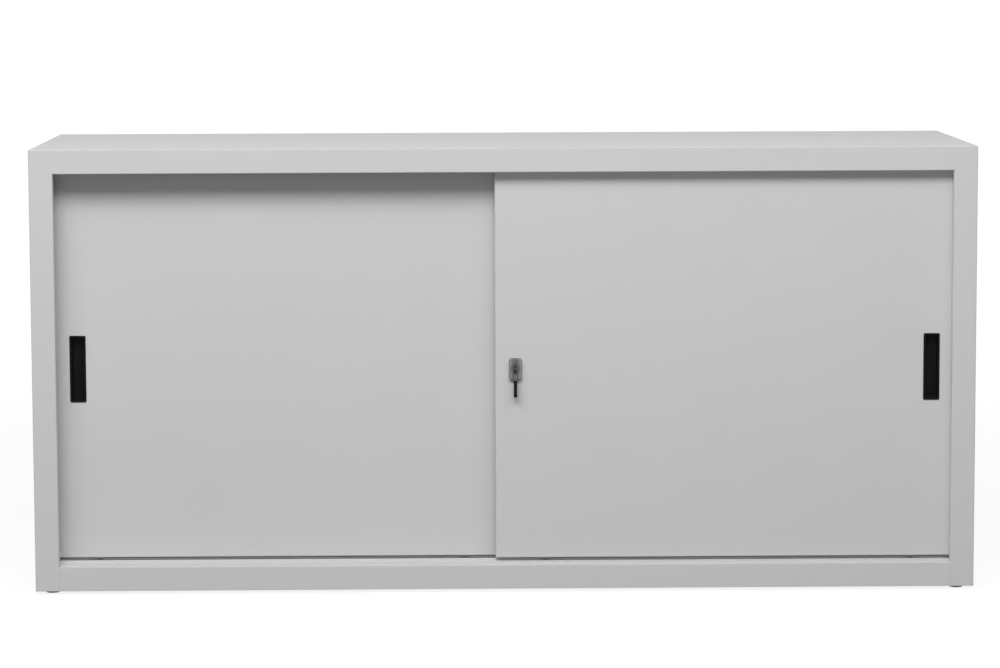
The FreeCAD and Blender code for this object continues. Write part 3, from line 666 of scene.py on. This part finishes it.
def plug_metal(node):
    """Turned metal: fine rings about the plug's axis, from a sine of the distance to it."""
    finish = Finish(node + "_turned", metallic=0.9)
    ring_pitch = 0.35 * mm
    x, y, z = finish.split(finish.vector("SUBTRACT", finish.place, middle(node)))
    radius = finish.math("SQRT", finish.math("ADD", finish.math("MULTIPLY", x, x),
                                             finish.math("MULTIPLY", z, z)))
    rings = finish.math("SINE", finish.math("MULTIPLY", radius, 2 * math.pi / ring_pitch))
    cloud = finish.noise(300.0, 3.0)
    colour = finish.mix(cloud, (0.050, 0.050, 0.052), (0.080, 0.080, 0.082))
    # Painted reflection: the plug is painted lighter towards its sides.
    painted_side_sheen = finish.fade(finish.math("ABSOLUTE", x), 1.5 * mm, 7.0 * mm, high=0.8)
    colour = finish.mix(painted_side_sheen, colour, (0.130, 0.130, 0.132))
    relief = finish.bump(rings, 0.006 * mm)
    return finish.done(colour, finish.fade(cloud, 0.3, 0.7, 0.30, 0.42), relief)


# %% [markdown]
# ## Dress the frame
#
# Each node of the construction already carries a plain material, named after the finish that it
# should have. That name picks the recipe, and the recipe makes a material for that very node, so
# that edge wear and welds fall where its own edges are.

# %% Dress the frame
recipes = {
    "body_paint": powder_coat,
    "door_paint": powder_coat,
    "black_plastic": black_plastic,
    "key_plastic": black_plastic,
    "nylon": nylon,
    "wheel_nylon": wheel_nylon,
    "rubber": rubber,
    "foot_plastic": foot_plastic,
    "zinc_steel": zinc_steel,
    "bright_steel": bright_steel,
    "black_nickel": black_nickel,
    "aluminium_track": aluminium_track,
    "die_cast": die_cast,
    "plug_metal": plug_metal,
}
slot_of = {node: part.data.materials[0].name for node, part in nodes.items()}
for node, part in nodes.items():
    part.material_slots[0].material = recipes[slot_of[node]](node)
print("dressed:", {slot: list(slot_of.values()).count(slot) for slot in recipes})

# %% [markdown]
# ## Surfaces from rows of points
#
# A moulded or turned piece is a stack of closed outlines: go along its profile, and at each step
# draw one outline. Stored as an array of rows by points by 3, such a stack becomes a mesh by
# joining each row to the next with quads. A piece with a bore closes on itself, last row to
# first, and any other is closed by a fan at each end.
#
# Profiles are written as their few corner points, and a helper swaps each corner for an arc.
# Subdivision could round them too, but it would shrink a fit of a tenth of a millimetre.

# %% Profile with rounded corners
guard = 0.35 * mm


def rounded(corners, radii, steps=5, closed=False):
    """The profile through the corners, each with an arc of its radius.

    With unit vectors u and v from a corner to its neighbours and half their angle a, the arc
    starts radius / tan(a) along u and ends as far along v. Its centre is radius / sin(a) along
    the bisector. Long straight runs get a row a guard's length from either end, which keeps the
    shading of a flat face flat.
    """
    corners = np.array(corners, float)
    points = []
    for index, radius in enumerate(radii):
        here = corners[index]
        if radius == 0 or (not closed and index in (0, len(radii) - 1)):
            points.append(here[None])
            continue
        u = corners[index - 1] - here
        v = corners[(index + 1) % len(corners)] - here
        u, v = u / np.linalg.norm(u), v / np.linalg.norm(v)
        half = np.arccos(np.clip(u @ v, -1, 1)) / 2
        bisector = (u + v) / np.linalg.norm(u + v)
        centre = here + bisector * radius / np.sin(half)
        first = here + u * radius / np.tan(half) - centre
        last = here + v * radius / np.tan(half) - centre
        sweep = np.pi - 2 * half
        t = np.linspace(0, 1, steps + 1)[:, None]
        arc = (np.sin((1 - t) * sweep) * first + np.sin(t * sweep) * last) / np.sin(sweep)
        points.append(centre + arc)
    points = np.concatenate(points)
    ahead = np.roll(points, -1, axis=0) if closed else np.concatenate([points[1:], points[-1:]])
    run = np.linalg.norm(ahead - points, axis=1, keepdims=True)
    share = np.where(run > 4 * guard, guard / np.maximum(run, guard), 0)
    step = (ahead - points) * share
    extra = np.stack([points, points + step, ahead - step], 1)
    keep = np.repeat(share > 0, 3, axis=1)
    keep[:, 0] = True
    return extra[keep]


# %% Outlines and meshes
def frames(half_w, half_h, corner, per_corner=10):
    """Rounded rectangles, one row each: quarter circles about the four corner centres.

    Each centre is at (half_w - corner, half_h - corner) with the signs of its quarter. Where both
    halves equal the corner, the row is a circle.
    """
    turn = (np.arange(per_corner) + 0.5) * (np.pi / 2 / per_corner)
    angle = (turn[None] + np.arange(4)[:, None] * np.pi / 2).ravel()
    half_w, half_h, corner = (np.asarray(a, float).reshape(-1, 1) for a in (half_w, half_h, corner))
    quarter = np.repeat(np.arange(4), per_corner) * np.pi / 2 + np.pi / 4
    across = np.sign(np.cos(quarter)) * (half_w - corner) + corner * np.cos(angle)
    up = np.sign(np.sin(quarter)) * (half_h - corner) + corner * np.sin(angle)
    return across, up


def turned(profile, axis, around=48):
    """Rows of a lathe piece: each profile point (radius, height) goes round the axis."""
    angle = np.arange(around) * (2 * np.pi / around)
    radius, height = profile[:, :1], profile[:, 1:]
    axis = np.array(axis, float)
    side = np.roll(axis, 1)
    other = np.cross(axis, side)
    circle = np.cos(angle)[:, None] * side + np.sin(angle)[:, None] * other
    return radius[:, :, None] * circle + height[:, :, None] * axis


def shell(rows, loop):
    """Vertices and faces of one closed surface, turned so that its volume is positive.

    The volume is a sixth of the sum, over all triangles, of the triple product of their corners.
    """
    count, around = rows.shape[:2]
    points = rows.reshape(-1, 3)
    index = np.arange(count * around).reshape(count, around)
    if loop:
        near, far = index, np.roll(index, -1, axis=0)
    else:
        near, far = index[:-1], index[1:]
    quads = np.stack([near, np.roll(near, -1, 1), np.roll(far, -1, 1), far], -1).reshape(-1, 4)
    triangles = np.zeros((0, 3), int)
    if not loop:
        ends = rows[[0, -1]].mean(axis=1)
        first = np.full(around, len(points))
        start = np.stack([np.roll(index[0], -1), index[0], first], -1)
        finish = np.stack([index[-1], np.roll(index[-1], -1), first + 1], -1)
        points = np.concatenate([points, ends])
        triangles = np.concatenate([start, finish])
    halves = np.concatenate([quads[:, :3], quads[:, [0, 2, 3]], triangles])
    a, b, c = (points[halves[:, corner]] for corner in range(3))
    volume = np.einsum("ij,ij->i", a, np.cross(b, c)).sum() / 6
    if volume < 0:
        quads, triangles = quads[:, ::-1], triangles[:, ::-1]
    return points, quads, triangles, abs(volume)


sharp_angle = math.radians(35)


def make_piece(name, shells, body, replaced):
    """One object from closed shells. It rides on a body and stands for a node, in its finish."""
    vertices, faces, volume = [], [], 0.0
    for rows, loop in shells:
        points, quads, triangles, held = shell(rows, loop)
        start = sum(len(part) for part in vertices)
        vertices.append(points)
        faces += (quads + start).tolist() + (triangles + start).tolist()
        volume += held
    mesh = bpy.data.meshes.new(name)
    mesh.from_pydata(np.concatenate(vertices).tolist(), [], faces)
    mesh.polygons.foreach_set("use_smooth", [True] * len(faces))
    mesh.set_sharp_from_angle(angle=sharp_angle)
    mesh.materials.append(recipes[slot_of[replaced]](replaced))
    piece = bpy.data.objects.new(name, mesh)
    bpy.context.scene.collection.objects.link(piece)
    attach(piece, body)
    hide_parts(replaced)
    print(f"{name}: {len(faces)} faces, {volume * 1e9:.0f} mm3")
    return piece


# %% [markdown]
# ## Recessed pulls
#
# Each door has a black pull, pressed into a rectangular hole in its skin: a thin rim lies on the
# paint, and a deep cup behind it takes the finger tips. Two nested boxes with a Bevel would give
# the shape, but not the draft that lets a moulding leave its tool, nor the large rounding at the
# cup's floor. The pull is instead one profile, from the middle of the cup's back round the rim to
# the middle of its floor, carried round a rounded rectangle.

# %% Recessed pulls
rim_proud = 1.2 * mm
rim_width = 3.2 * mm
cup_wall = 1.5 * mm
cup_draft = 0.4 * mm
pull_corner = 2.2 * mm
pole_size = 1.0 * mm


def recessed_pull(door):
    """Rows of rounded rectangles along a profile of (size, y).

    Each row's half width is the size and its half height the size and a fixed length. Its corner
    is half the size, up to the pull's own corner.
    """
    low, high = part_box(door + "_pull")
    centre = (low + high) / 2
    half_w = (high.x - low.x) / 2
    longer = (high.z - low.z) / 2 - half_w
    face = low.y + rim_proud
    well = half_w - rim_width
    floor_y = high.y - cup_wall
    corners = [
        (pole_size, high.y), (well + cup_wall - cup_draft, high.y), (well + cup_wall, face),
        (half_w, face), (half_w, low.y), (well, low.y), (well - cup_draft, floor_y),
        (pole_size, floor_y),
    ]
    radii = [0, 1.4 * mm, 0, 0, 0.75 * mm, 0.5 * mm, 1.3 * mm, 0]
    profile = rounded(corners, radii)
    size, y = profile[:, 0], profile[:, 1]
    across, up = frames(size, size + longer, np.minimum(pull_corner, 0.5 * size))
    y = np.broadcast_to(y[:, None], across.shape)
    rows = np.stack([centre.x + across, y, centre.z + up], -1)
    return make_piece(door + "_pull_moulding", [(rows, False)], door, door + "_pull")


for door in ("left_door", "right_door"):
    recessed_pull(door)

# %% [markdown]
# ## Lock housing
#
# The lock body is a die casting: a small rounded block on the door's face, with the cylinder in
# its middle, and a threaded barrel that passes through the skin to the nut behind. Block and
# barrel are one casting, so they are one surface here. Its outline starts as a rounded rectangle
# and turns into a circle on the way across the front, which a boolean of two solids would show
# as a hard line instead.

# %% Lock housing
housing_proud = 6.0 * mm
barrel_radius = 9.0 * mm
bore_radius = 6.55 * mm
mouth_radius = 7.55 * mm
mouth_depth = 1.05 * mm
thread_pitch = 1.5 * mm
thread_depth = 0.45 * mm
block_edge = 1.5 * mm
block_corner = 3.6 * mm
lip_width = 0.3 * mm


def lock_housing():
    """Rows of (half width, half height, corner, y), from the block's back round to the barrel."""
    low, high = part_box("lock_housing")
    centre = (low + high) / 2
    half_w, half_h = (high.x - low.x) / 2, (high.z - low.z) / 2
    face = low.y + housing_proud
    turn = np.linspace(0, np.pi / 2, 8)
    inset = block_edge * (1 - np.cos(turn))
    block = np.stack([half_w - inset, half_h - inset, block_corner - inset,
                      low.y + block_edge * (1 - np.sin(turn))], -1)
    foot = np.array([[half_w, half_h, block_corner, y] for y in (face, face - guard)])
    lip = mouth_radius + lip_width
    blend = np.linspace(0.08, 1, 6)[:, None]
    front = block[-1] + blend * (np.array([lip, lip, lip, low.y]) - block[-1])
    mouth_floor = low.y + mouth_depth
    hole = rounded([(lip, low.y), (mouth_radius, low.y + lip_width), (mouth_radius, mouth_floor),
                    (bore_radius, mouth_floor), (bore_radius, high.y), (barrel_radius, high.y)],
                   [0] * 6)
    along = np.linspace(high.y, face, 96)
    wave = 0.5 - 0.5 * np.cos(2 * np.pi * (along - face) / thread_pitch)
    thread = np.stack([barrel_radius - thread_depth * wave, along], -1)
    round_part = np.concatenate([hole, thread])
    circles = np.column_stack([round_part[:, 0]] * 3 + [round_part[:, 1]])
    rows = np.concatenate([foot, block, front, circles])
    across, up = frames(rows[:, 0], rows[:, 1], rows[:, 2])
    y = np.broadcast_to(rows[:, 3:], across.shape)
    grid = np.stack([centre.x + across, y, centre.z + up], -1)
    return make_piece("lock_housing_casting", [(grid, True)], "right_door", "lock_housing")


lock_housing()

# %% [markdown]
# ## Key grip
#
# The key folds down at its neck, and its black grip hangs just clear of the door. The grip is a
# flat paddle with soft shoulders, which narrows to a collar around the neck. It is built upwards:
# at each height the paddle has a front, a back and a thickness, all smooth functions of the
# height, and the last rows turn down inside the collar to make the socket for the neck.

# %% Key grip
collar_wall = 0.35 * mm
socket_gap = 0.05 * mm
shoulder_start, shoulder_rise = 17.0 * mm, 4.5 * mm
end_round, end_thinning = 4.2 * mm, 1.3 * mm
waist_length, waist_depth = 19.0 * mm, 0.35 * mm
collar_hug, collar_drop = 0.25 * mm, 0.2 * mm


def ease(t):
    """0 to 1 with a level start and end: 3 t squared minus 2 t cubed."""
    t = np.clip(t, 0, 1)
    return t * t * (3 - 2 * t)


def key_grip():
    """Rows of rounded rectangles, from the grip's end up to the collar and down into its socket.

    The end is an ellipse's quarter, 1 minus the root of 1 minus (1 - t) squared. The shoulder is
    an ease from the paddle's depth to the collar's, and the waist a sine squared.
    """
    low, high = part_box("key_grip")
    neck_low, neck_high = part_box("key_neck")
    half_x = (high.x - low.x) / 2
    centre_x = (high.x + low.x) / 2
    z = low.z + (high.z - low.z) * (1 - np.cos(np.linspace(0, np.pi, 70)[1:])) / 2
    above = z - low.z
    shoulder = ease((above - shoulder_start) / shoulder_rise)
    rounding = 1 - np.sqrt(1 - np.clip(1 - above / end_round, 0, 1) ** 2)
    front = low.y + (neck_low.y - collar_wall - low.y) * shoulder + end_round * rounding
    back = high.y + (neck_high.y + collar_wall - high.y) * shoulder - end_round * rounding
    waist = np.sin(np.pi * np.clip(above / waist_length, 0, 1)) ** 2
    thick = half_x - waist_depth * waist - end_thinning * rounding ** 2
    inner_x = (neck_high.x - neck_low.x) / 2 + socket_gap
    rim = np.array([0.0, 0.15, 0.5, 1.0])
    lip_z = high.z - collar_drop * (1 - np.sqrt(1 - (1 - rim[::-1]) ** 2))
    socket_z = np.array([high.z, neck_low.z + guard, neck_low.z])
    z = np.concatenate([z[:-1], lip_z, socket_z])
    hug = np.concatenate([np.zeros(len(thick) - 1), collar_hug * (1 - rim)])
    outer_half_x = np.concatenate([thick[:-1], np.full(4, half_x)]) - hug
    outer_front = np.concatenate([front[:-1], np.full(4, front[-1])]) + hug
    outer_back = np.concatenate([back[:-1], np.full(4, back[-1])]) - hug
    half_w = np.concatenate([outer_half_x, np.full(3, inner_x)])
    front = np.concatenate([outer_front, np.full(3, neck_low.y - socket_gap)])
    back = np.concatenate([outer_back, np.full(3, neck_high.y + socket_gap)])
    half_d = (back - front) / 2
    across, deep = frames(half_w, half_d, np.minimum(half_w, half_d) * 0.45)
    grid = np.stack([centre_x + across, (front + back)[:, None] / 2 + deep,
                     np.broadcast_to(z[:, None], across.shape)], -1)
    return make_piece("key_grip_moulding", [(grid, False)], "key_bow", "key_grip")


key_grip()

# %% [markdown]
# ## Wheels
#
# The doors run on small nylon wheels with a groove that straddles a rib of the lower track. A
# moulded wheel is dished on both faces to keep its walls even, and all its edges are rounded.
# It is a closed profile turned about the axle, in the way a lathe would make it.

# %% Wheels
axle_bore = 2.55 * mm
hub_radius, web_start, web_end, flange_start = 4.4 * mm, 4.8 * mm, 8.4 * mm, 8.9 * mm
web_dish = 0.8 * mm
groove_floor = 10.0 * mm
groove_mouth, groove_half = 2.5 * mm, 1.9 * mm


def wheel(node, body):
    """A closed profile of (radius, place along the axle): one side, and the same side mirrored."""
    low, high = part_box(node)
    centre = np.array((low + high) / 2)
    half = (high.y - low.y) / 2
    tread = (high.z - low.z) / 2
    web = web_dish - half
    side = [(axle_bore, -half), (hub_radius, -half), (web_start, web), (web_end, web),
            (flange_start, -half), (tread, -half), (tread, -groove_mouth),
            (groove_floor, -groove_half)]
    corners = side + [(radius, -height) for radius, height in side[::-1]]
    radii = [0.2, 0.3, 0.3, 0.3, 0.3, 0.5, 0.3, 0.3]
    radii = [radius * mm for radius in radii + radii[::-1]]
    rows = centre + turned(rounded(corners, radii, steps=4, closed=True), (0, 1, 0), around=56)
    return make_piece(node + "_moulding", [(rows, True)], body, node)


bodies = frame["record"]["behaviour"]["bodies"]
for node in [node for node in nodes if node.endswith("_wheel")]:
    wheel(node, next(name for name, members in bodies.items() if node in members))

# %% [markdown]
# ## Door buffers
#
# Rubber buffers on the side panels meet the doors' edges. Each is pushed through a hole by its
# stem and stands on a flange, with a waist that lets it give and a rounded nose. They sit in
# pairs, and the frame's box of each group gives where.

# %% Door buffers
flange_radius = 8.5 * mm
flange_height = 2.0 * mm
nose_radius, waist_radius = 6.0 * mm, 5.3 * mm
rear_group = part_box("rear_lane_buffers")
buffer_length = rear_group[1].x - rear_group[0].x


def door_buffers(node):
    """Turned rubber noses, one at each end of the group's box, along the wall's normal."""
    low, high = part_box(node)
    centre = 0.3 * mm
    corners = [(centre, 0.0), (flange_radius, 0.0), (flange_radius, flange_height),
               (nose_radius, flange_height), (waist_radius, 0.45 * buffer_length),
               (nose_radius, 0.8 * buffer_length), (nose_radius, buffer_length),
               (centre, buffer_length)]
    radii = [radius * mm for radius in (0, 0.5, 0.6, 0.6, 6.0, 4.0, 2.2, 0)]
    profile = rounded(corners, radii)
    walls = [(low.x, 1)]
    if high.x - low.x > 2 * buffer_length:
        walls.append((high.x, -1))
    shells = []
    for x, inwards in walls:
        for z in (low.z + flange_radius, high.z - flange_radius):
            place = np.array([x, (low.y + high.y) / 2, z])
            shells.append((place + turned(profile, (inwards, 0, 0)), False))
    return make_piece(node + "_mouldings", shells, "cabinet", node)


for node in ("front_lane_buffers", "rear_lane_buffers"):
    door_buffers(node)

# %% [markdown]
# ## Levelling feet
#
# A foot is a plastic pad, fluted so that fingers can turn it, on a threaded stud with a short
# hexagon. The pad is a turned profile whose radius also follows a cosine round the rim. The
# thread is a true helix: along the stud and round it, the radius is a wave of height minus angle,
# so each turn climbs by one pitch.

# %% Levelling feet
pad_height = 4.0 * mm
pad_recess = 0.5 * mm
pad_flutes = 22
flute_depth, flute_reach = 0.35 * mm, 2.5 * mm
stud_pitch = 1.25 * mm
stud_core = 3.35 * mm
stud_radius = 4.0 * mm
hexagon_flats = 10.4 * mm
hexagon_top = 6.5 * mm


def foot_pad(corner):
    """Turned pad. Near the rim, a cosine of the angle times the flutes makes the radius less."""
    low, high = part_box(corner + "_foot")
    centre = np.array([(low.x + high.x) / 2, (low.y + high.y) / 2, 0.0])
    radius = (high.x - low.x) / 2
    corners = [(0.4 * mm, pad_recess), (6.0 * mm, pad_recess), (7.0 * mm, 0.0), (radius, 0.0),
               (radius, pad_height), (6.6 * mm, pad_height), (0.4 * mm, pad_height)]
    profile = rounded(corners, [r * mm for r in (0, 0.5, 0.5, 0.8, 1.4, 0, 0)])
    rows = turned(profile, (0, 0, 1), around=8 * pad_flutes)
    angle = np.arctan2(rows[..., 1], rows[..., 0])
    rim = ease((profile[:, :1] - radius + flute_reach) / flute_reach)
    shrink = 1 - rim * flute_depth * (0.5 - 0.5 * np.cos(pad_flutes * angle)) / radius
    rows[..., :2] *= shrink[..., None]
    foot = corner + "_foot"
    return make_piece(foot + "_pad", [(centre + rows, False)], foot, foot)


def foot_stud(corner):
    """Helical thread over a hexagon.

    A hexagon's radius is half its flats over the cosine of the angle to the nearest flat's middle.
    """
    foot = corner + "_foot"
    low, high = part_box(foot)
    centre = np.array([(low.x + high.x) / 2, (low.y + high.y) / 2, 0.0])
    start = hexagon_top - 0.5 * mm
    height = np.linspace(start, high.z, int((high.z - start) / stud_pitch * 9))
    rows = turned(np.column_stack([np.full(len(height), 1.0), height]), (0, 0, 1), around=28)
    angle = np.arctan2(rows[..., 1], rows[..., 0])
    wave = 0.5 + 0.5 * np.cos(2 * np.pi * height[:, None] / stud_pitch - angle)
    taper = ease((high.z - height[:, None]) / (1.2 * mm))
    radius = stud_core + (stud_radius - stud_core) * wave * taper
    rows[..., :2] *= radius[..., None]
    bottom = pad_height - 1.0 * mm
    corners = [(0.3 * mm, bottom), (hexagon_flats / 2, bottom), (hexagon_flats / 2, hexagon_top),
               (0.3 * mm, hexagon_top)]
    hexagon = turned(rounded(corners, [0, 0, 0.4 * mm, 0]), (0, 0, 1), around=48)
    turn = np.arctan2(hexagon[..., 1], hexagon[..., 0]) % (np.pi / 3) - np.pi / 6
    hexagon[..., :2] /= np.cos(turn)[..., None]
    shells = [(centre + rows, False), (centre + hexagon, False)]
    piece = make_piece(foot + "_stud", shells, foot, foot)
    piece.data.materials[0] = zinc_steel(foot)
    return piece


for corner in ("front_left", "front_right", "rear_left", "rear_right"):
    foot_pad(corner)
    foot_stud(corner)
